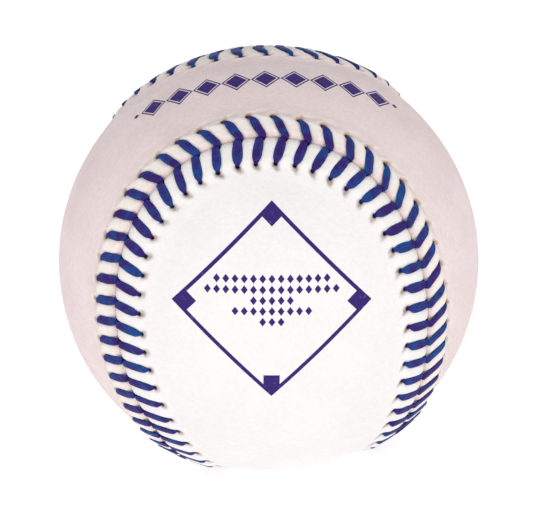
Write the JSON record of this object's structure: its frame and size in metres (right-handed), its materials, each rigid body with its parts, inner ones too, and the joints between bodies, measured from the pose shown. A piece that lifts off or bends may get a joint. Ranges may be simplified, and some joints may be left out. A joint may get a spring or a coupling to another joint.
{
  "type": "baseball",
  "caption": "White leather baseball with raised double-stitched seam in blue waxed thread, over windings and a cushioned cork centre.",
  "frame": {"origin": "centre of the ball", "axes": "+Z along the seam's fourfold turning axis, out through the middle of the side panel's neck; -Y out through the middle of the front panel's near lobe, which carries the printed ornament; +X out through a lobe of the side panel"},
  "size_m": [0.0728, 0.0728, 0.0728],
  "materials": {
    "cork": "matt cork and rubber composition",
    "black_rubber": "matt moulded",
    "red_rubber": "matt moulded",
    "grey_wool": "wound woollen yarn",
    "white_wool": "wound woollen yarn",
    "finishing_yarn": "fine wound cotton yarn",
    "cement": "dried rubber cement, satin",
    "leather": "smooth alum-tanned cowhide, satin",
    "blue_thread": "waxed, slightly glossy"
  },
  "bodies": {
    "root": {"cork_core": "cork", "black_rubber_shell_lower": "black_rubber", "black_rubber_shell_upper": "black_rubber", "rubber_washer": "red_rubber", "red_rubber_layer": "red_rubber", "first_winding": "grey_wool", "second_winding": "white_wool", "third_winding": "grey_wool", "finishing_winding": "finishing_yarn", "cement_coat": "cement", "cover_panel_front": "leather", "cover_panel_side": "leather", "stitching_thread": "blue_thread"}
  },
  "joints": []
}
